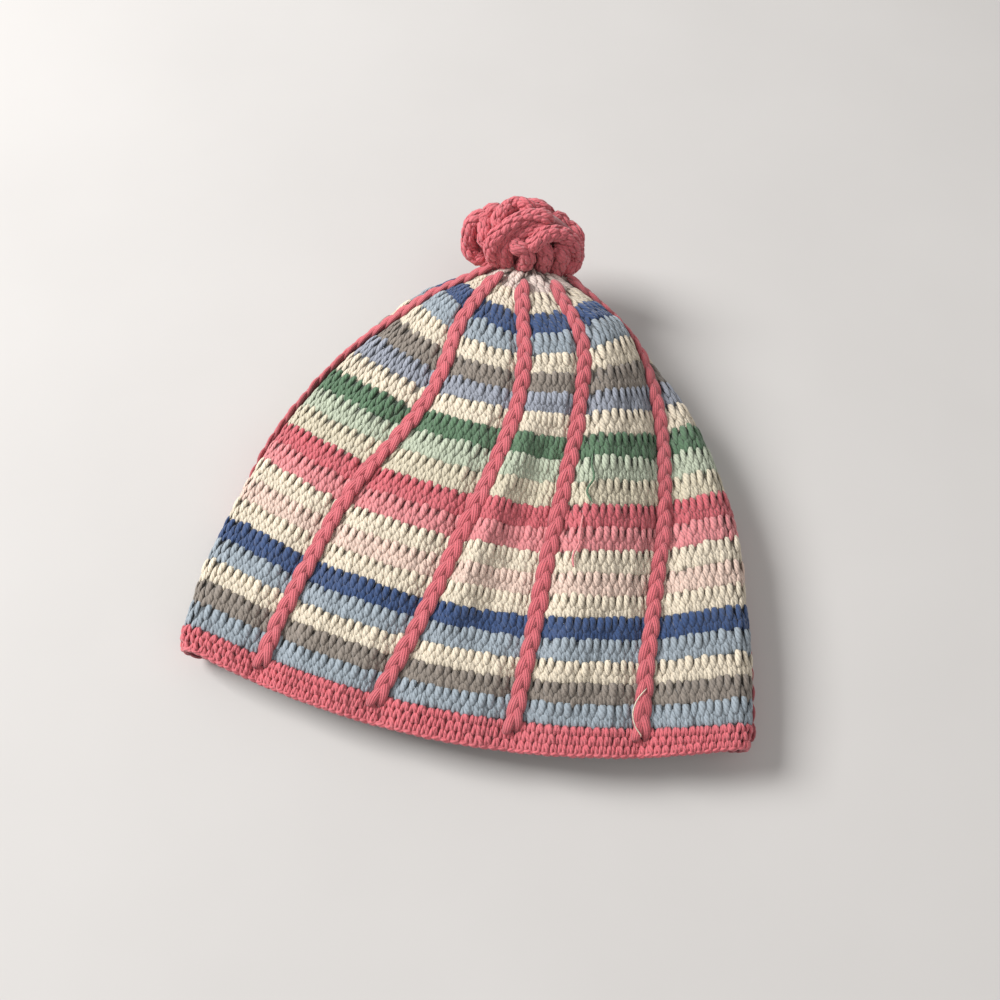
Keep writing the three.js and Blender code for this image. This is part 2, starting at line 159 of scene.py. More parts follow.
# The pompom's cords, whose lobes differ in slip, turn and size, and the ball behind them
CORD_SIDES = 8
CORD_CORE_SIDES = 12
CORD_SAMPLES = 200
CORD_STEP = 1.5
CORD_STITCH = 4.6
CORD_LEGS = 8
CORD_LEAN = 0.17
CORD_TURN = 0.3
CORD_TWIST = 3.0
CORD_CHANCE = (0.08, 0.05, 0.08)
CORD_LOBE_REACH = 1.0
# The painted shade of a cord's core below its lobes, painted darkest
CORD_SHADE = 0.2
CORD_LIFT_SPAN = 2.1
END_REACH = 4
CURL_DIP = 0.5
POMPOM_CORNER = 1.12
CORE_SHARE = 0.9
# The lift that the painted shade of the ball and the lobes is measured from
CORE_LIFT = -0.9
CORE_RINGS = 15
CORE_SIDES = 24
CORE_KNOB = 0.03
KNOBS_ROUND = 8
KNOBS_DOWN = 10
# Shares of the pompom's half sizes within which its colour is painted dark, as shade deep between the
# cords, and over which the painted shade grows light
DARK_WITHIN = 0.56
SHADE_DEPTH = 0.28
RAISED_SHARE = 0.34

# The yarn's look. A noise has a scale, a detail and a roughness. A shade has a share and a floor.
# Shade by lift and by ply is painted shade, darker in the hollows and between the plies; fibre shade is
# the yarn's own uneven tone.
FIBRES = (1300, 3, 0.65)
PATCHES = (45, 2, 0.5)
SPECKS = (420, 2, 0.5)
LIFT_SHADE = (0.74, 0.26)
PLY_SHADE = (0.28, 0.76)
FIBRE_SHADE = (0.9, 0.55)
# Scales of the colour for the painted shade in the deepest hollows and the painted highlight on the tops
DARKEST = 0.06
LIGHTEST = 1.1
# A paler colour for patches and specks, placed at random but shown only on the raised tops as a painted
# highlight
HIGHLIGHT_TINT = (0.84, 0.09)
PATCH_HIGHLIGHT = 0.7
SPECK_HIGHLIGHT = 0.8
NO_HIGHLIGHT = 0.6
PLY_BUMP = 0.7
FIBRE_BUMP = 0.8
BUMP_STRENGTH = 0.65
BUMP_DEPTH = 0.6 * MM
YARN_SURFACE = {"Roughness": 0.9, "Specular IOR Level": 0.2, "Sheen Weight": 0.3, "Sheen Roughness": 0.5}

# The stage, in metres, watts and degrees. A light has its place, size and power.
FLOOR_HALF = 3
FLOOR_CLOUDS = (8, 4, 0.5)
FLOOR_COLOURS = ((0.62, 0.60, 0.58, 1), (0.68, 0.66, 0.64, 1))
FLOOR_ROUGHNESS = 0.9
KEY_LIGHT = ((-1.7, 0.3, 1.35), 0.9, 60)
FILL_LIGHT = ((0.8, -0.5, 1.2), 1.6, 4)
SURROUND_COLOUR = (0.95, 0.93, 0.92, 1)
SURROUND_STRENGTH = 0.34
CAMERA_PLACE = (0.01431, -0.21683, 0.43792)
CAMERA_ANGLES = (3.42, 25.26, 5.07)
SENSOR_WIDTH = 36


def table(columns, rows):
    """Rows of numbers as named columns."""
    return dict(zip(columns.split(), np.array(rows, float).T))


# The rings of the wall. half_width is a share of HEM_WIDTH, the columns in y are shares of HAT_LENGTH,
# dome is a share of DOME_RISE, and the last two are shares of the ring's own height.
SECTIONS = table("round half_width fold_y top_y under_y dome fold_lift under_lift", [
    (0, 0.000, 1.000, 1.000, 1.000, 0.76, 1.00, 1.00),
    (1, 0.052, 0.996, 0.952, 1.037, 0.88, 0.83, 0.70),
    (2, 0.100, 0.975, 0.896, 1.050, 0.96, 0.68, 0.40),
    (4, 0.189, 0.913, 0.784, 1.012, 1.00, 0.50, 0.04),
    (6, 0.267, 0.834, 0.699, 0.921, 0.97, 0.40, 0.00),
    (9, 0.363, 0.705, 0.575, 0.780, 0.87, 0.30, 0.00),
    (13, 0.444, 0.523, 0.392, 0.581, 0.67, 0.27, 0.00),
    (18, 0.488, 0.299, 0.193, 0.340, 0.36, 0.33, 0.00),
    (22, 0.502, 0.124, 0.050, 0.149, 0.06, 0.48, 0.00),
    (23, 0.500, 0.083, 0.000, 0.104, 0.00, 0.55, 0.00),
])
# Where the ribs seen from above cross each round, as shares of its length from the right fold
RIB_PATHS = table("round rib_01 rib_02 rib_03 rib_04 rib_05 rib_06", [
    (1, -0.090, 0.020, 0.140, 0.275, 0.385, 0.465),
    (4, -0.093, 0.018, 0.140, 0.245, 0.366, 0.458),
    (8, -0.050, 0.052, 0.170, 0.246, 0.351, 0.500),
    (13, -0.020, 0.083, 0.194, 0.274, 0.390, 0.510),
    (18, -0.008, 0.100, 0.202, 0.298, 0.411, 0.525),
    (23, -0.004, 0.100, 0.208, 0.327, 0.428, 0.540),
])
PLACED_RIBS = ["rib_01", "rib_02", "rib_03", "rib_04", "rib_05", "rib_06"]
# Soft folds along the wall, whose rise is a share of PANEL_BULGE
FOLDS = table("column reach first_round last_round rise", [
    (2.35, 0.45, 7, 20, -1.1),
    (2.8, 0.3, 8, 19, 0.45),
    (1.7, 0.4, 2, 22, 0.6),
    (1.0, 0.5, 4, 18, -0.7),
])

# The yarn of each round, from the crown to the hem
ROUND_YARNS = [
    "blush", "cream", "navy", "sky", "cream", "taupe", "lavender", "cream", "green", "mint", "ivory",
    "coral", "light_coral", "cream", "peach", "cream", "navy", "sky", "cream", "taupe", "sky",
]

# One tall stitch: a tooth that stands over the round above, and two legs below it. across and wide
# are shares of the stitch's width, down of the round's height. lift and high are measured from the
# middle of the wall.
TOOTH_LOBE = table("across down lift wide high", [
    (0.00, -0.15, 0.50, 0.28, 0.35),
    (0.01, -0.10, 0.85, 0.40, 0.65),
    (0.03, 0.04, 1.05, 0.43, 0.85),
    (0.07, 0.24, 1.00, 0.42, 0.90),
    (0.15, 0.43, 0.75, 0.34, 0.85),
    (0.28, 0.60, 0.30, 0.18, 0.55),
])
LEFT_LEG = table("across down lift wide high", [
    (-0.46, 0.16, 0.25, 0.16, 0.45),
    (-0.40, 0.32, 0.55, 0.32, 0.70),
    (-0.31, 0.52, 0.68, 0.40, 0.80),
    (-0.20, 0.72, 0.68, 0.41, 0.80),
    (-0.11, 0.89, 0.55, 0.33, 0.75),
    (-0.06, 0.99, 0.00, 0.20, 0.45),
])
RIGHT_LEG = table("across down lift wide high", [
    (0.44, 0.40, 0.20, 0.14, 0.45),
    (0.38, 0.52, 0.50, 0.30, 0.70),
    (0.32, 0.66, 0.64, 0.37, 0.80),
    (0.27, 0.80, 0.62, 0.37, 0.80),
    (0.25, 0.92, 0.45, 0.29, 0.70),
    (0.24, 0.99, 0.00, 0.18, 0.45),
])
INNER_LOBE = table("across down lift wide high", [
    (0.05, -0.04, -0.20, 0.14, 0.40),
    (0.00, 0.15, -0.85, 0.40, 0.90),
    (-0.04, 0.50, -0.90, 0.36, 0.90),
    (0.00, 0.82, -0.85, 0.40, 0.85),
    (0.05, 1.00, -0.20, 0.14, 0.40),
])
# The lobes of one tall stitch with the number of rings in each, and those of a lobe under a rib
TALL_STITCH = ((TOOTH_LOBE, 7), (LEFT_LEG, 6), (RIGHT_LEG, 6), (INNER_LOBE, 4))
UNDER_RIB_STEPS = 5
# A short stitch of the band: two small lobes that lean apart
BAND_LOBE = table("across down lift wide high", [
    (0.04, -0.26, 0.35, 0.16, 0.45),
    (0.12, 0.05, 1.00, 0.30, 1.00),
    (0.22, 0.45, 1.15, 0.33, 1.10),
    (0.28, 0.82, 0.85, 0.30, 0.95),
    (0.29, 1.12, 0.30, 0.16, 0.45),
])
# One arm of a braid's link, in mm: across from the rib's middle, along toward the hem
BRAID_ARM = table("across along lift wide high", [
    (-0.4, -2.0, 3.30, 0.8, 0.5),
    (0.4, 0.4, 4.15, 1.9, 1.0),
    (1.2, 3.2, 4.40, 2.3, 1.25),
    (1.8, 6.0, 4.00, 2.2, 1.25),
    (2.1, 8.8, 3.20, 1.7, 1.0),
    (2.0, 11.2, 2.30, 0.7, 0.5),
])
# One lobe of a pompom cord's stitches: along the cord in stitch lengths, lift and high in mm
CORD_LOBE = table("along lean lift wide high", [
    (-0.66, -1.0, -0.70, 0.60, 0.35),
    (-0.40, -0.6, 0.05, 1.40, 0.70),
    (0.00, 0.0, 0.20, 1.70, 0.80),
    (0.40, 0.6, 0.05, 1.40, 0.70),
    (0.66, 1.0, -0.70, 0.60, 0.35),
])
# The pompom's cords: how far each stands out, then its way as shares of the half width and height
CURLS = [
    (1.00, [(-0.70, 0.42), (-0.88, 0.24), (-0.92, -0.14), (-0.88, -0.52), (-0.76, -0.86)]),
    (0.90, [(-0.60, -0.30), (-0.64, 0.10), (-0.66, 0.46), (-0.50, 0.66)]),
    (1.00, [(-0.44, 0.30), (-0.38, 0.66), (-0.18, 0.92), (0.04, 0.84)]),
    (1.16, [(0.36, 0.62), (0.10, 0.62), (-0.16, 0.40), (-0.34, 0.10), (-0.48, -0.18), (-0.48, -0.56),
            (-0.32, -1.00)]),
    (0.90, [(0.34, 0.30), (0.10, 0.22), (-0.08, 0.02), (-0.16, -0.34)]),
    (0.94, [(-0.22, 0.04), (-0.30, -0.30), (-0.26, -0.66), (-0.20, -1.04)]),
    (1.08, [(-0.10, -0.24), (0.08, -0.40), (0.12, -0.70), (-0.06, -1.02)]),
    (1.14, [(0.20, -0.14), (0.38, 0.18), (0.64, 0.24), (0.86, -0.02), (0.94, -0.42), (0.82, -0.78)]),
    (0.92, [(0.34, -0.16), (0.42, -0.54), (0.32, -1.02)]),
    (1.00, [(0.66, -0.24), (0.68, -0.62), (0.56, -0.98)]),
]
# Loose ends of yarn: name, yarn, radius, and the columns, rounds and lifts that they run through
LOOSE_STEPS = 40
# The lift that sets the loose ends' painted shade, near the lightest as they lie on top
LOOSE_SHADE = 2
LOOSE_END_REACH = 3
LOOSE_LEAST = 0.1
LOOSE_ENDS = [
    ("green_end", "green", 0.55, table("column round lift", [
        (1.80, 9.8, 1.2), (1.79, 10.3, 3.0), (1.76, 10.9, 3.2), (1.79, 11.4, 3.0), (1.74, 11.9, 2.8),
    ])),
    ("coral_end", "light_coral", 0.5, table("column round lift", [
        (1.79, 12.3, 1.2), (1.78, 12.9, 3.0), (1.77, 13.6, 3.1), (1.79, 14.2, 3.0), (1.77, 14.7, 2.7),
    ])),
    ("pale_end", "cream", 0.3, table("column round lift", [
        (1.03, 20.1, 6.2), (1.10, 20.6, 6.4), (1.12, 21.2, 5.6), (1.09, 21.8, 5.4), (1.02, 22.3, 5.4),
    ])),
]


def smooth(t):
    """From 0 to 1, level at both ends."""
    u = np.clip(t, 0, 1)
    return u * u * (3 - 2 * u)


def unit(vectors):
    return vectors / np.maximum(np.linalg.norm(vectors, axis=-1, keepdims=True), 1e-9)


def travelled(points):
    """The distance along each line of points, up to each of them."""
    steps = np.linalg.norm(np.diff(points, axis=-2), axis=-1)
    return np.concatenate([np.zeros_like(steps[..., :1]), np.cumsum(steps, axis=-1)], axis=-1)


def read_line(at, marks, points):
    """Points of a line at any marks between its own."""
    return np.stack([np.interp(at, marks, points[:, axis]) for axis in range(3)], axis=-1)


def rounded(to_end, reach, least=0.05):
    """Shares of a cord's thickness that round its ends, from the distance to the nearer end."""
    return np.sqrt(np.clip(to_end / reach, least, 1))


def curve(values, count):
    """Values at evenly spaced steps of a smooth curve through those given."""
    padded = np.concatenate([[2 * values[0] - values[1]], values, [2 * values[-1] - values[-2]]])
    at = np.linspace(0, len(values) - 1, count)
    i = np.minimum(at.astype(int), len(values) - 2)
    u = (at - i).reshape(-1, *[1] * (values.ndim - 1))
    p0, p1, p2, p3 = (padded[i + k] for k in range(4))
    return 0.5 * (2 * p1 + (p2 - p0) * u + (2 * p0 - 5 * p1 + 4 * p2 - p3) * u**2
                  + (3 * p1 - p0 - 3 * p2 + p3) * u**3)


def curves(rows, count):
    """Every column of a table, read as a smooth curve."""
    return [curve(values, count) for values in rows.values()]


def read_table(rows, column, at):
    """One column of a table at any round, by a cubic through its rows."""
    knots, values = rows["round"], rows[column]
    slopes = np.empty_like(values)
    slopes[1:-1] = (values[2:] - values[:-2]) / (knots[2:] - knots[:-2])
    slopes[0] = (values[1] - values[0]) / (knots[1] - knots[0])
    slopes[-1] = (values[-1] - values[-2]) / (knots[-1] - knots[-2])
    i = int(np.clip(np.searchsorted(knots, at, side="right") - 1, 0, len(knots) - 2))
    span = knots[i + 1] - knots[i]
    u = (at - knots[i]) / span
    start = (2 * u**3 - 3 * u**2 + 1) * values[i] + (u**3 - 2 * u**2 + u) * span * slopes[i]
    end = (3 * u**2 - 2 * u**3) * values[i + 1] + (u**3 - u**2) * span * slopes[i + 1]
    return start + end


def ring_points(at):
    """The middle line of the wall at one round, with the distance round it.

    Near the crown a ring is tilted. Past the seat it lies flat, with a fold at each side.
    """
    read = {name: read_table(SECTIONS, name, at) for name in SECTIONS if name != "round"}
    height = WALL + MOUTH_OPENING + DOME_RISE * read["dome"]
    half = max(HEM_WIDTH * read["half_width"], 0)
    fold_y, top_y, under_y = (HAT_LENGTH * read[name] for name in ("fold_y", "top_y", "under_y"))
    top_z = REST + height
    fold_z = REST + height * read["fold_lift"]
    under_z = REST + height * max(read["under_lift"], 0)
    share = np.arange(RING_SAMPLES + 1) / RING_SAMPLES
    rise = np.sin(TAU * share)
    above = rise > 0
    far_y = np.where(above, top_y, under_y)
    far_z = np.where(above, top_z, under_z)
    ring = np.stack([
        half * np.cos(TAU * share),
        fold_y + (far_y - fold_y) * abs(rise),
        fold_z + (far_z - fold_z) * abs(rise),
    ], axis=1)
    flat = float(smooth(at / SEAT_ROUNDS))
    if flat > 0:
        turned = share % 1
        radius = min(fold_z - under_z, MOST_FOLD * half)
        reach = half - radius
        domed = top_z - fold_z - radius
        left = (turned > 0.25) & (turned < 0.75)
        from_fold = np.where(left, abs(turned - 0.5), abs((turned + 0.5) % 1 - 0.5))
        bend = math.pi / 2 * radius
        along = from_fold * 4 * (bend + reach)
        bent = along < bend
        x = np.where(bent, reach + radius * np.cos(along / radius), reach - (along - bend))
        z = np.where(bent, radius * np.sin(along / radius), radius)
        inward = np.clip(x / reach, 0, 1)
        over = turned < 0.5
        bow = 1 - (x / half) ** 2
        flattened = np.stack([
            np.where(left, -x, x),
            fold_y + (np.where(over, top_y, under_y) - fold_y) * bow,
            fold_z + np.where(over, z + domed * (1 - inward**2), -z),
        ], axis=1)
        ring = ring + (flattened - ring) * flat
    ring[:, 1] -= HEM_LEAN * ring[:, 0]
    return ring, travelled(ring)


def middle_points(at, share):
    points, distance = ring_points(at)
    return read_line((share - np.floor(share)) * distance[-1], distance, points)


def outward(at, share):
    here = max(at, NORMAL_ROUNDS)
    lower = middle_points(max(at - NORMAL_ROUNDS, NORMAL_ROUNDS), share)
    upper = middle_points(min(at + NORMAL_ROUNDS, HEM_ROUND), share)
    before = middle_points(here, share - NORMAL_SHARE)
    after = middle_points(here, share + NORMAL_SHARE)
    return unit(np.cross(after - before, upper - lower))


def column_shares(at, columns):
    """Where columns stand round the ring of one round, as shares of its length."""
    placed = [read_table(RIB_PATHS, name, max(at, RIB_PATHS["round"][0])) for name in PLACED_RIBS]
    spacing = (1 + placed[0] - placed[-1]) / (RIB_COUNT - len(placed) + 1)
    marks = placed + [placed[-1] + spacing * (i + 1) for i in range(RIB_COUNT - len(placed))]
    marks.append(placed[0] + 1)
    lap = np.floor(columns / RIB_COUNT)
    return np.interp(columns - lap * RIB_COUNT, np.arange(RIB_COUNT + 1), marks) + lap


def swell(at, columns):
    """How far the wall stands out from its middle line."""
    within = columns - np.floor(columns)
    at_hem = 1 + (BAND_SWELL - 1) * smooth(at - LAST_ROUND)
    out = np.minimum(np.sin(math.pi * within) / PANEL_LEVEL, 1) * smooth(at / SEAT_ROUNDS) * at_hem
    lapped = columns % RIB_COUNT
    for column, reach, first, last, rise in zip(*FOLDS.values()):
        away = np.abs(lapped - column) / reach
        comes = smooth((at - first) / FOLD_FADE) * smooth((last - at) / FOLD_FADE)
        out = out + np.where(away < 1, rise * comes * np.cos(math.pi / 2 * away) ** 2, 0)
    return PANEL_BULGE * out


def edge_points(at, columns, offset):
    """Points of the wall's face, as the solids have them, before they are moved to their place."""
    share = column_shares(at, columns)
    return middle_points(at, share) + outward(at, share) * (swell(at, columns) + offset)[:, None]


def find_shift():
    """From the tables' own origin to the frame's, read from the box of one solid."""
    columns = np.concatenate([panel + np.arange(facets) / facets
                              for panel, facets in enumerate(PANEL_FACETS)])
    points = np.concatenate([edge_points(at, columns, side * WALL / 2)
                             for at in SHIFT_ROUNDS for side in (-1, 1)])
    low, high = (np.array(corner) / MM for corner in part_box("round_19"))
    return ((low + high) - (points.min(0) + points.max(0))) / 2


class Fabric:
    """The hat's wall as a grid of points and normals that can be read anywhere."""

    def __init__(self):
        self.rounds = np.arange(FIRST_ROUND, HEM_ROUND + ROUND_STEP / 2, ROUND_STEP)
        self.rounds[-1] = HEM_ROUND
        self.columns = np.arange(RIB_COUNT * COLUMN_STEPS + 1) / COLUMN_STEPS
        self.shift = find_shift()
        points, base = [], []
        for at in self.rounds:
            share = column_shares(at, self.columns)
            base.append(outward(at, share))
            points.append(middle_points(at, share) + base[-1] * swell(at, self.columns)[:, None])
        self.points = np.array(points) + self.shift
        self.base = np.array(base)
        wrapped = np.concatenate([self.points[:, -2:-1], self.points, self.points[:, 1:2]], axis=1)
        across = wrapped[:, 2:] - wrapped[:, :-2]
        down = np.gradient(self.points, axis=0)
        self.normals = unit(np.cross(across, down))

    def read(self, grid, rounds, columns):
        """Reads a grid between its points, and on in a straight line past the hem."""
        r = (np.asarray(rounds, float) - self.rounds[0]) / ROUND_STEP
        c = (np.asarray(columns, float) % RIB_COUNT) * COLUMN_STEPS
        i = np.clip(np.floor(r).astype(int), 0, len(self.rounds) - 2)
        j = np.clip(np.floor(c).astype(int), 0, len(self.columns) - 2)
        u, v = (r - i)[..., None], (c - j)[..., None]
        near = grid[i, j] * (1 - v) + grid[i, j + 1] * v
        far = grid[i + 1, j] * (1 - v) + grid[i + 1, j + 1] * v
        return near * (1 - u) + far * u

    def place(self, rounds, columns, lift):
        """Points at a lift from the middle of the wall, with the wall's normals there."""
        normal = unit(self.read(self.normals, rounds, columns))
        return self.read(self.points, rounds, columns) + normal * np.asarray(lift)[..., None], normal

    def pitch(self, at):
        """The mean distance from one rib to the next."""
        return ring_points(at)[1][-1] / RIB_COUNT


def tube_quads(rings, sides):
    """Faces between each ring of points and the next."""
    row = np.arange(rings - 1)[:, None] * sides
    here = np.arange(sides)
    after = (here + 1) % sides
    corners = [row + here, row + after, row + sides + after, row + sides + here]
    return np.stack(corners, axis=-1).reshape(-1, 4)


def end_quads(rings, sides):
    """Faces that close a tube's first and last rings."""
    quads = []
    for ring, order in ((0, -1), (rings - 1, 1)):
        loop = np.arange(sides)[::order] + ring * sides
        quads += [[loop[0], *loop[i:i + 3]] for i in range(1, sides - 2, 2)]
    return np.array(quads)


class Mesher:
    """Collects strands and sheets, each point with a lift that sets its painted shade, and makes one mesh
    of them.
    """

    def __init__(self):
        self.points, self.faces, self.marks, self.lifts = [], [], [], []
        self.count = 0

    def add(self, points, lifts, quads, marks=None):
        self.points.append(points)
        self.lifts.append(lifts)
        self.faces.append(quads + self.count)
        self.marks.append(np.zeros((len(quads), 4, 2)) if marks is None else marks)
        self.count += len(points)

    def strands(self, paths, normals, wide, high, lift, sides, plies=4, twist=2.6):
        """Closed tubes along paths of shape (strands, points, 3), flattened against the normals.

        plies is the number of yarns round a tube, and twist the length in which one moves on by its
        own width.
        """
        number, steps = paths.shape[:2]
        forward = unit(np.gradient(paths, axis=1))
        side = unit(np.cross(normals, forward))
        up = unit(np.cross(forward, side))
        turn = TAU * np.arange(sides) / sides
        cos, sin = np.cos(turn)[:, None], np.sin(turn)[:, None]
        rings = (paths[:, :, None] + wide[..., None, None] * cos * side[:, :, None]
                 + high[..., None, None] * sin * up[:, :, None])
        # Painted shade: each tube is painted lighter on its outer side and darker on its side toward the
        # wall
        lifts = lift[..., None] + high[..., None] * np.sin(turn)
        around = plies * np.arange(sides + 1) / sides
        along = travelled(paths) / twist
        marks = np.empty((number, steps - 1, sides, 4, 2))
        for corner, (turned, moved) in enumerate(((0, 0), (1, 0), (1, 1), (0, 1))):
            marks[..., corner, 0] = around[turned:turned + sides]
            marks[..., corner, 1] = along[:, moved:moved + steps - 1, None]
        first = np.arange(number)[:, None] * steps * sides
        tubes = (tube_quads(steps, sides) + first[:, :, None]).reshape(-1, 4)
        ends = (end_quads(steps, sides)[:, None] + first).reshape(-1, 4)
        marks = np.concatenate([marks.reshape(-1, 4, 2), np.zeros((len(ends), 4, 2))])
        self.add(rings.reshape(-1, 3), lifts.reshape(-1), np.concatenate([tubes, ends]), marks)

    def build(self, name, painted_shade_range=STITCH_SHADE_LIFTS):
        points = np.concatenate(self.points) * MM
        quads = np.concatenate(self.faces)
        marks = np.concatenate(self.marks)
        low, high = painted_shade_range
        # The lifts become the painted shade: the low end of the range is painted darkest, the high end
        # lightest
        lifts = np.clip((np.concatenate(self.lifts) - low) / (high - low), 0, 1)
        mesh = bpy.data.meshes.new(name)
        mesh.vertices.add(len(points))
        mesh.vertices.foreach_set("co", points.astype(np.float32).ravel())
        mesh.loops.add(quads.size)
        mesh.loops.foreach_set("vertex_index", quads.astype(np.int32).ravel())
        mesh.polygons.add(len(quads))
        mesh.polygons.foreach_set("loop_start", (np.arange(len(quads)) * 4).astype(np.int32))
        mesh.polygons.foreach_set("use_smooth", np.ones(len(quads), bool))
        layer = mesh.uv_layers.new(name="yarn")
        layer.data.foreach_set("uv", marks.astype(np.float32).ravel())
        # The painted shade of each point, which the yarn's material reads
        lift = mesh.attributes.new("lift", "FLOAT", "POINT")
        lift.data.foreach_set("value", lifts.astype(np.float32))
        mesh.update(calc_edges=True)
        mesh.validate()
        piece = bpy.data.objects.new(name, mesh)
        bpy.context.scene.collection.objects.link(piece)
        return piece


def add_backing(mesher, marks, half, steps, disc=False):
    """The thin backing that the stitches stand on: a ring between two rounds, or a disc."""
    columns = np.arange(RIB_COUNT * steps) / steps
    size = len(columns)
    faces = [(at, half) for at in marks] + [(at, -half) for at in reversed(marks)]
    points = np.concatenate([
        Workshop.cloth().place(np.full(size, float(at)), columns, np.full(size, lift))[0]
        for at, lift in faces
    ])
    if disc:
        quads = np.concatenate([tube_quads(len(faces), size), end_quads(len(faces), size)])
    else:
        quads = tube_quads(len(faces) + 1, size) % len(points)
    # The backing is painted in the darkest shade, a painted shadow in the gaps between the stitches
    mesher.add(points, np.full(len(points), STITCH_SHADE_LIFTS[0]), quads)


class Row:
    """One row of stitches. Its place and height are in rounds, its stitches' width in columns."""

    def __init__(self, top, tall, measured_at, clear, stitch):
        self.top, self.tall = top, tall
        self.pitch = Workshop.cloth().pitch(measured_at)
        margin = clear / self.pitch
        number = max(2, round(self.pitch * (1 - 2 * margin) / stitch))
        self.width = (1 - 2 * margin) / number
        middles = margin + self.width * (np.arange(number) + 0.5)
        self.centres = (np.arange(RIB_COUNT)[:, None] + middles).ravel()

    def add_lobes(self, mesher, rows, chance, steps, mirror=1, spread=1, centres=None):
        """One lobe of a table at each stitch, no two quite the same."""
        centres = self.centres if centres is None else centres
        across, down, lift, wide, high = curves(rows, steps)
        lean, size, slip, rise = (chance.normal(0, amount, (len(centres), 1)) for amount in LOBE_CHANCE)
        columns = centres[:, None] - self.width * (mirror * across + lean * (0.5 - down) + slip)
        rounds = self.top + self.tall * (down + slip)
        lifts = lift + np.sign(lift.mean()) * rise
        paths, normals = Workshop.cloth().place(rounds, columns, lifts)
        half = wide * self.width * self.pitch * (1 + size) * spread
        thick = np.maximum(high, LEAST_HIGH) * (1 + size)
        # The lift out of the wall sets the painted shade: lobes far from the wall's middle are painted
        # lighter, deep ones darker
        mesher.strands(paths, normals, half, thick, abs(lifts), LOBE_SIDES)


def fill_row(mesher, top, tall, chance):
    """A row of tall stitches on both faces of the wall."""
    stitch = bpy.context.scene.hat_sizes.stitch_width / MM
    row = Row(top, tall, top + tall / 2, RIB_CLEARANCE, stitch)
    for rows, steps in TALL_STITCH:
        row.add_lobes(mesher, rows, chance, steps)
    under_ribs = np.arange(RIB_COUNT).astype(float)
    row.add_lobes(mesher, LEFT_LEG, chance, UNDER_RIB_STEPS, spread=UNDER_RIB_SPREAD,
                  centres=under_ribs)


class Wire:
    """A node's output whose arithmetic adds Math nodes."""

    def __init__(self, kit, socket):
        self.kit = kit
        self.socket = socket

    def maths(self, operation, other=0):
        return self.kit.node("ShaderNodeMath", {"operation": operation}, {0: self, 1: other})

    def __add__(self, other):
        return self.maths("ADD", other)

    def __sub__(self, other):
        return self.maths("SUBTRACT", other)

    def __mul__(self, other):
        return self.maths("MULTIPLY", other)

    def sine(self):
        return self.maths("SINE")

    def size(self):
        return self.maths("ABSOLUTE")


class Kit:
    """The nodes of one material."""

    def __init__(self, name):
        self.material = bpy.data.materials.new(name)
        self.material.use_nodes = True
        self.tree = self.material.node_tree
        self.surface = self.tree.nodes["Principled BSDF"]

    def node(self, kind, settings=None, values=None, output=0):
        made = self.tree.nodes.new(kind)
        for name, setting in (settings or {}).items():
            setattr(made, name, setting)
        for name, value in (values or {}).items():
            self.feed(made.inputs[name], value)
        return Wire(self, made.outputs[output])

    def feed(self, socket, value):
        if isinstance(value, Wire):
            self.tree.links.new(value.socket, socket)
        else:
            socket.default_value = value

    def place(self):
        return self.node("ShaderNodeTexCoord", output="Object")

    def noise(self, place, scale, detail, roughness):
        return self.node("ShaderNodeTexNoise", None, {
            "Vector": place, "Scale": scale, "Detail": detail, "Roughness": roughness,
        })

    def mix(self, share, first, second):
        """A colour between two. A Mix node's colour sockets are told apart only by number."""
        return self.node("ShaderNodeMix", {"data_type": "RGBA"}, {0: share, 6: first, 7: second}, 2)


def shaded(colour, factor, more=0.0):
    return (*(min(1.0, channel * factor + more) for channel in colour[:3]), 1.0)


def yarn_material(name, colour):
    """Matt spun yarn: twisted plies, loose fibres and uneven tone, painted shade in the hollows and
    between the plies, and pale patches and specks on the raised tops as a painted highlight.
    """
    kit = Kit(name)
    marks = kit.node("ShaderNodeUVMap", {"uv_map": "yarn"})
    around, along = (kit.node("ShaderNodeSeparateXYZ", None, {"Vector": marks}, axis) for axis in "XY")
    # The lift attribute carries the painted shade: 0 in the hollows, 1 on the tops
    lift = kit.node("ShaderNodeAttribute", {"attribute_name": "lift"}, output="Fac")
    fibres, patches, specks = (kit.noise(kit.place(), *grain) for grain in (FIBRES, PATCHES, SPECKS))
    ply = ((around + along) * math.pi).sine().size()
    # Painted light and shade: dark in the hollows and in the grooves between plies, light on the tops,
    # with the fibres' uneven tone
    lit = (lift * LIFT_SHADE[0] + LIFT_SHADE[1]) * (ply * PLY_SHADE[0] + PLY_SHADE[1])
    lit = lit * (fibres * FIBRE_SHADE[0] + FIBRE_SHADE[1])
    body = kit.mix(lit, shaded(colour, DARKEST), shaded(colour, LIGHTEST))
    # Pale patches and specks at random, shown only on the raised tops as a painted highlight
    patchy_highlight = (patches * PATCH_HIGHLIGHT + specks * SPECK_HIGHLIGHT - NO_HIGHLIGHT) * lift
    kit.feed(kit.surface.inputs["Base Color"], kit.mix(patchy_highlight, body, shaded(colour, *HIGHLIGHT_TINT)))
    for socket, value in YARN_SURFACE.items():
        kit.surface.inputs[socket].default_value = value
    bump = kit.node("ShaderNodeBump", None, {
        "Strength": BUMP_STRENGTH, "Distance": BUMP_DEPTH, "Height": ply * PLY_BUMP + fibres * FIBRE_BUMP,
    })
    kit.feed(kit.surface.inputs["Normal"], bump)
    return kit.material


class HatSizes(PropertyGroup):
    """Sizes of the yarn and the stitches."""

    stitch_width: FloatProperty(name="Stitch Width", description="Width of one tall stitch",
                                default=3.85 * MM, unit="LENGTH")
    braid_pitch: FloatProperty(name="Braid Pitch", description="Length of one link of a rib's braid",
                               default=BRAID_LINK * MM, unit="LENGTH")
    lens: FloatProperty(name="Camera Lens", description="Focal length in millimetres", default=34.42)


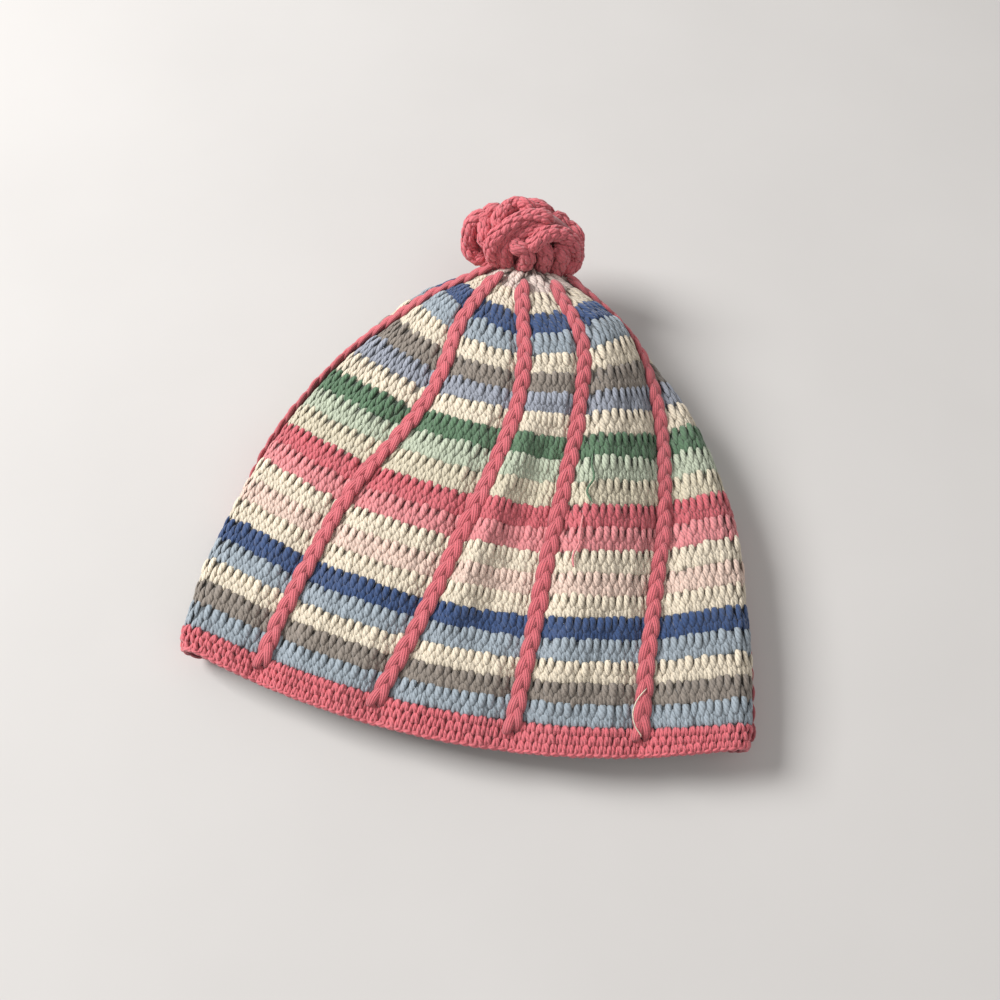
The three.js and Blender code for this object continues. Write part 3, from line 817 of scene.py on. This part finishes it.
def colour_property(name, red, green, blue):
    return FloatVectorProperty(name=name, description=f"Colour of the {name.lower()} yarn",
                               subtype="COLOR", default=(red, green, blue), min=0, max=1)


class HatColours(PropertyGroup):
    """Yarn colours, linear."""

    blush: colour_property("Blush", 0.84, 0.70, 0.62)
    cream: colour_property("Cream", 0.88, 0.77, 0.60)
    navy: colour_property("Navy", 0.045, 0.088, 0.215)
    sky: colour_property("Sky", 0.37, 0.43, 0.48)
    taupe: colour_property("Taupe", 0.30, 0.255, 0.215)
    lavender: colour_property("Lavender", 0.36, 0.385, 0.45)
    green: colour_property("Green", 0.12, 0.22, 0.125)
    mint: colour_property("Mint", 0.56, 0.62, 0.47)
    ivory: colour_property("Ivory", 0.76, 0.68, 0.51)
    coral: colour_property("Coral", 0.70, 0.155, 0.18)
    light_coral: colour_property("Light Coral", 0.84, 0.30, 0.31)
    peach: colour_property("Peach", 0.88, 0.66, 0.55)


class Workshop:
    """What the pieces share while the hat is made."""

    fabric = None
    materials = {}

    @classmethod
    def cloth(cls):
        if cls.fabric is None:
            cls.fabric = Fabric()
        return cls.fabric

    @classmethod
    def yarn(cls, name):
        if name not in cls.materials:
            colours = bpy.context.scene.hat_colours
            cls.materials[name] = yarn_material(name + "_yarn", tuple(getattr(colours, name)))
        return cls.materials[name]


def dress(piece, yarn, *nodes):
    """Gives a piece its yarn, its body and the solids that it stands for."""
    piece.data.materials.append(Workshop.yarn(yarn))
    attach(piece, "root")
    if nodes:
        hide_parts(*nodes)


class HAT_OT_rounds(Operator):
    """Crochet the coloured rounds"""
    bl_idname = "hat.rounds"
    bl_label = "Rounds"

    def execute(self, context):
        chance = np.random.default_rng(RANDOM_SEED)
        for i, yarn in enumerate(ROUND_YARNS):
            top = i + 1
            mesher = Mesher()
            if i == 0:
                fill_row(mesher, *SEAT_ROW, chance)
                add_backing(mesher, SEAT_MARKS, BACKING, DISC_STEPS, disc=True)
            else:
                marks = [top + mark for mark in BACKING_MARKS]
                add_backing(mesher, marks, BACKING, BACKING_STEPS)
            fill_row(mesher, top, 1, chance)
            name = f"round_{i + 1:02d}"
            dress(mesher.build(name + "_stitches"), yarn, name)
        return {"FINISHED"}


class HAT_OT_band(Operator):
    """Crochet the hem band"""
    bl_idname = "hat.band"
    bl_label = "Band"

    def execute(self, context):
        chance = np.random.default_rng(RANDOM_SEED + 1)
        mesher = Mesher()
        add_backing(mesher, BAND_MARKS, BAND_BACKING, BACKING_STEPS)
        inside = {**BAND_LOBE, "lift": -BAND_LOBE["lift"]}
        for i in range(BAND_ROWS):
            top = LAST_ROUND + i / BAND_ROWS
            row = Row(top, 1 / BAND_ROWS, top, 0, BAND_STITCH)
            row.centres = row.centres + row.width * 0.5 * (i % 2)
            for rows, mirror in ((BAND_LOBE, 1), (BAND_LOBE, -1), (inside, 1)):
                row.add_lobes(mesher, rows, chance, BAND_STEPS, mirror)
        self.add_edge(mesher, chance)
        dress(mesher.build("hem_band_stitches"), "coral", "hem_band")
        return {"FINISHED"}

    def add_edge(self, mesher, chance):
        """The chain that runs round the hem's free edge."""
        row = Row(HEM_ROUND, 0, HEM_ROUND, 0, EDGE_STITCH)
        along = np.linspace(-EDGE_REACH, EDGE_REACH, EDGE_STEPS)
        columns = row.centres[:, None] + row.width * along
        slip = chance.normal(0, EDGE_CHANCE, (len(columns), 1))
        rounds = HEM_ROUND - EDGE_INSET + EDGE_BOW * np.cos(along * math.pi / (2 * EDGE_REACH)) + slip
        paths, normals = Workshop.cloth().place(rounds, columns, EDGE_SWAY * np.sin(along * EDGE_WAVE))
        shape = np.sqrt(np.clip(1 - (along / EDGE_END) ** 2, EDGE_LEAST, 1))
        half, thick, lift = (np.broadcast_to(values, columns.shape)
                             for values in (EDGE_HALF[0] * shape, EDGE_HALF[1] * shape, EDGE_SHADE_LIFT))
        mesher.strands(paths, normals, half, thick, lift, CORD_SIDES)


class HAT_OT_ribs(Operator):
    """Braid the ribs"""
    bl_idname = "hat.ribs"
    bl_label = "Ribs"

    def execute(self, context):
        chance = np.random.default_rng(RANDOM_SEED + 2)
        for rib in range(RIB_COUNT):
            mesher = Mesher()
            self.braid(mesher, rib, chance)
            name = f"rib_{rib + 1:02d}"
            dress(mesher.build(name + "_braid", RIB_SHADE_LIFTS), "coral", name)
        return {"FINISHED"}

    def braid(self, mesher, rib, chance):
        """Two rows of arms that lap each other, on a plain core."""
        fabric = Workshop.cloth()
        rounds = np.linspace(RIB_START, RIB_END + RIB_OVER_BAND, RIB_SAMPLES)
        columns = np.full_like(rounds, rib)
        foot = fabric.read(fabric.points, rounds, columns)
        out = unit(fabric.read(fabric.base, rounds, columns))
        side = unit(np.cross(out, unit(np.gradient(foot, axis=0))))
        length = travelled(foot)

        def at(across, along, lift):
            here = np.clip(along, 0, length[-1])
            middle, sideways, outwards = (read_line(here, length, line) for line in (foot, side, out))
            return middle + sideways * across[..., None] + outwards * lift[..., None], outwards

        whole = length[-1] - LAST_LINK
        links = int(whole / (bpy.context.scene.hat_sizes.braid_pitch / MM))
        starts = FIRST_LINK + np.arange(links) * whole / links
        stretch = whole / links / BRAID_LINK
        across, along, lift, wide, high = curves(BRAID_ARM, BRAID_STEPS)
        for mirror, late in ((1, 0), (-1, BRAID_LATE)):
            slip, size, sway, rise = (chance.normal(0, amount, (links, 1)) for amount in BRAID_CHANCE)
            reach = starts[:, None] + (along + late * BRAID_LINK) * stretch + slip
            lifts = lift + rise
            paths, normals = at(mirror * across + sway, reach, lifts)
            half = wide * (1 + size)
            thick = np.maximum(high, BRAID_LEAST_HIGH) * (1 + size)
            mesher.strands(paths, normals, half, thick, lifts, BRAID_SIDES, BRAID_PLIES, BRAID_TWIST)
        first, last = RIB_CORE_INSETS
        reach = np.linspace(first, length[-1] - last, RIB_CORE_STEPS)[None]
        flat = np.zeros_like(reach)
        paths, normals = at(flat, reach, flat + RIB_CORE_LIFT)
        ends = rounded(np.minimum(reach, length[-1] - reach), END_REACH)
        half, thick = (size * ends for size in RIB_CORE_HALF)
        mesher.strands(paths, normals, half, thick, flat + RIB_CORE_SHADE, CORD_SIDES)


class HAT_OT_pompom(Operator):
    """Curl the pompom's cords"""
    bl_idname = "hat.pompom"
    bl_label = "Pompom"

    def execute(self, context):
        chance = np.random.default_rng(RANDOM_SEED + 3)
        crown = np.array([0, HAT_LENGTH, REST + WALL + MOUTH_OPENING + DOME_RISE * SECTIONS["dome"][0]])
        middle = crown + np.array(POMPOM_PLACE) + Workshop.cloth().shift
        cos, sin = math.cos(POMPOM_TIP), math.sin(POMPOM_TIP)
        axes = np.array([(1, 0, 0), (0, cos, sin), (0, -sin, cos)])
        shell = (np.array(POMPOM_HALF) - CORD_DIAMETER / 2)[:, None] * axes
        mesher = Mesher()
        for face in (1, -1):
            turned = shell * np.array([face, 1, face])[:, None]
            for stand, curl in CURLS:
                self.add_cord(mesher, self.find_route(stand, curl, middle, turned), middle, chance)
        self.add_core(mesher, middle, shell * CORE_SHARE)
        # Painted shade: darker deep inside the pompom and low on each lobe, where shade falls between the
        # cords
        for i, points in enumerate(mesher.points):
            away = np.linalg.norm((points - middle) @ axes.T / POMPOM_HALF, axis=1)
            painted_depth_shade = np.clip((away - DARK_WITHIN) / SHADE_DEPTH, 0, 1)
            raised = np.clip((mesher.lifts[i] - CORE_LIFT) / CORD_LIFT_SPAN, 0, 1)
            mesher.lifts[i] = painted_depth_shade * (1 - RAISED_SHARE + RAISED_SHARE * raised)
        dress(mesher.build("pompom_cords", (0, 1)), "coral", "pompom")
        return {"FINISHED"}

    def find_route(self, stand, curl, middle, axes):
        """The way of one cord over the pompom, with both its ends turned in."""
        route = []
        for side, high in curl:
            reach = math.hypot(side, high)
            inside = min(1, POMPOM_CORNER / reach)
            deep = stand * math.sqrt(max(1 - (reach * inside) ** 2, 0))
            route.append(middle + np.array([side * inside, high * inside, deep]) @ axes)
        first, last = (end + (middle - end) * CURL_DIP for end in (route[0], route[-1]))
        return np.array([first, *route, last])

    def add_cord(self, mesher, route, middle, chance):
        """A crocheted cord: a plain core with rows of lobes round it."""
        rough = curve(route, CORD_SAMPLES)
        rough_length = travelled(rough)
        steps = int(rough_length[-1] / CORD_STEP)
        at = np.linspace(0, rough_length[-1], steps)
        path = read_line(at, rough_length, rough)
        normals = unit(path - middle)
        forward = unit(np.gradient(path, axis=0))
        side = unit(np.cross(normals, forward))
        up = unit(np.cross(forward, side))
        ends = rounded(np.minimum(at, at[-1] - at), END_REACH)
        radius = CORD_DIAMETER / 2 - CORD_LOBE_REACH
        core = (radius * ends)[None]
        # The core under the lobes is painted darkest, as shade between them
        lifts = np.full_like(core, CORD_SHADE - radius)
        mesher.strands(path[None], normals[None], core, core, lifts, CORD_CORE_SIDES)
        rows = int(at[-1] / CORD_STITCH)
        row, leg = (grid.ravel()[:, None] for grid in np.meshgrid(np.arange(rows), np.arange(CORD_LEGS)))
        along, lean, lift, wide, high = CORD_LOBE.values()
        slip, turn, size = (chance.normal(0, amount, (len(row), 1)) for amount in CORD_CHANCE)
        reach = (row + 0.5 + 0.5 * (leg // 2 % 2) + slip + along) * at[-1] / rows
        here = np.clip(reach, 0, at[-1])
        spin = TAU * (leg + CORD_LEAN * (1 - 2 * (leg % 2)) * lean) / CORD_LEGS + CORD_TURN * row + turn
        centre, sideways, upward = (read_line(here, at, line) for line in (path, side, up))
        away = unit(np.cos(spin)[..., None] * sideways + np.sin(spin)[..., None] * upward)
        shrink = np.interp(here, at, ends)
        paths = centre + away * ((radius + lift) * shrink)[..., None]
        grown = (1 + size) * shrink
        lifts = np.broadcast_to(lift, here.shape)
        mesher.strands(paths, away, wide * grown, high * grown, lifts, LOBE_SIDES, twist=CORD_TWIST)

    def add_core(self, mesher, middle, axes):
        """The knobbly ball that closes the gaps between the cords."""
        rings, sides = CORE_RINGS, CORE_SIDES
        turn = TAU * np.arange(sides)[None] / sides
        lean = math.pi * (np.arange(rings)[:, None] + 0.5) / rings
        knob = 1 - CORE_KNOB + CORE_KNOB * np.cos(KNOBS_ROUND * turn) * np.cos(KNOBS_DOWN * lean)
        ball = np.stack([np.sin(lean) * np.cos(turn), np.sin(lean) * np.sin(turn),
                         np.broadcast_to(-np.cos(lean), knob.shape)], axis=-1)
        points = (middle + (ball @ axes) * knob[..., None]).reshape(-1, 3)
        quads = np.concatenate([tube_quads(rings, sides), end_quads(rings, sides)])
        # The ball is painted darker than the lobes, as shade in the gaps between the cords
        mesher.add(points, np.full(len(points), CORE_LIFT), quads)


class HAT_OT_loose_ends(Operator):
    """Lay the loose ends of yarn"""
    bl_idname = "hat.loose_ends"
    bl_label = "Loose Ends"

    def execute(self, context):
        step = np.arange(LOOSE_STEPS)
        ends = rounded(np.minimum(step, step[-1] - step), LOOSE_END_REACH, LOOSE_LEAST)[None]
        for name, yarn, radius, rows in LOOSE_ENDS:
            column, at, lift = curves(rows, LOOSE_STEPS)
            path, normals = Workshop.cloth().place(at, column, lift)
            half = radius * ends
            mesher = Mesher()
            lifts = np.full_like(half, LOOSE_SHADE)
            mesher.strands(path[None], normals[None], half, half, lifts, CORD_SIDES)
            dress(mesher.build(name), yarn)
        return {"FINISHED"}


class HAT_OT_stage(Operator):
    """Set the floor, the lights and the camera"""
    bl_idname = "hat.stage"
    bl_label = "Stage"

    def execute(self, context):
        scene = context.scene
        floor = self.add_floor(scene)
        self.add_light(scene, "key_light", *KEY_LIGHT)
        self.add_light(scene, "fill_light", *FILL_LIGHT)
        world = bpy.data.worlds.new("pale_surround")
        world.use_nodes = True
        background = world.node_tree.nodes["Background"]
        background.inputs["Color"].default_value = SURROUND_COLOUR
        background.inputs["Strength"].default_value = SURROUND_STRENGTH
        scene.world = world
        scene.view_settings.view_transform = "Standard"
        camera_data = bpy.data.cameras.new("camera")
        camera_data.lens = scene.hat_sizes.lens
        camera_data.sensor_width = SENSOR_WIDTH
        camera = bpy.data.objects.new("camera", camera_data)
        camera.location = CAMERA_PLACE
        turn, tilt, roll = (math.radians(angle) for angle in CAMERA_ANGLES)
        aim = Matrix.Rotation(turn, 3, "Z") @ Matrix.Rotation(tilt, 3, "X") @ Matrix.Rotation(roll, 3, "Z")
        camera.rotation_euler = aim.to_euler()
        scene.collection.objects.link(camera)
        scene.camera = camera
        return {"FINISHED"}

    def add_floor(self, scene):
        corners = [(x * FLOOR_HALF, y * FLOOR_HALF, 0) for x, y in ((-1, -1), (1, -1), (1, 1), (-1, 1))]
        mesh = bpy.data.meshes.new("floor")
        mesh.from_pydata(corners, [], [(0, 1, 2, 3)])
        floor = bpy.data.objects.new("floor", mesh)
        scene.collection.objects.link(floor)
        kit = Kit("pale_floor")
        cloudy = kit.noise(kit.place(), *FLOOR_CLOUDS)
        kit.feed(kit.surface.inputs["Base Color"], kit.mix(cloudy, *FLOOR_COLOURS))
        kit.surface.inputs["Roughness"].default_value = FLOOR_ROUGHNESS
        floor.data.materials.append(kit.material)
        return floor

    def add_light(self, scene, name, place, size, energy):
        data = bpy.data.lights.new(name, "AREA")
        data.size = size
        data.energy = energy
        light = bpy.data.objects.new(name, data)
        light.location = place
        light.rotation_euler = (-Vector(place)).to_track_quat("-Z", "Y").to_euler()
        scene.collection.objects.link(light)


class HAT_PT_panel(Panel):
    """Lists the hat's pieces in the sidebar"""
    bl_label = "Crocheted Hat"
    bl_idname = "HAT_PT_panel"
    bl_space_type = "VIEW_3D"
    bl_region_type = "UI"
    bl_category = "Hat"

    def draw(self, context):
        for operator in OPERATORS:
            self.layout.operator(operator.bl_idname)
        for group in (context.scene.hat_sizes, context.scene.hat_colours):
            for name in group.__annotations__:
                self.layout.prop(group, name)


OPERATORS = (HAT_OT_rounds, HAT_OT_band, HAT_OT_ribs, HAT_OT_pompom, HAT_OT_loose_ends, HAT_OT_stage)
CLASSES = (HatSizes, HatColours, *OPERATORS, HAT_PT_panel)


def register():
    for cls in CLASSES:
        bpy.utils.register_class(cls)
    bpy.types.Scene.hat_sizes = PointerProperty(type=HatSizes)
    bpy.types.Scene.hat_colours = PointerProperty(type=HatColours)


def unregister():
    del bpy.types.Scene.hat_colours
    del bpy.types.Scene.hat_sizes
    for cls in reversed(CLASSES):
        bpy.utils.unregister_class(cls)


def main():
    register()
    bpy.ops.hat.rounds()
    bpy.ops.hat.band()
    bpy.ops.hat.ribs()
    bpy.ops.hat.pompom()
    bpy.ops.hat.loose_ends()
    bpy.ops.hat.stage()


if __name__ == "__main__":
    main()
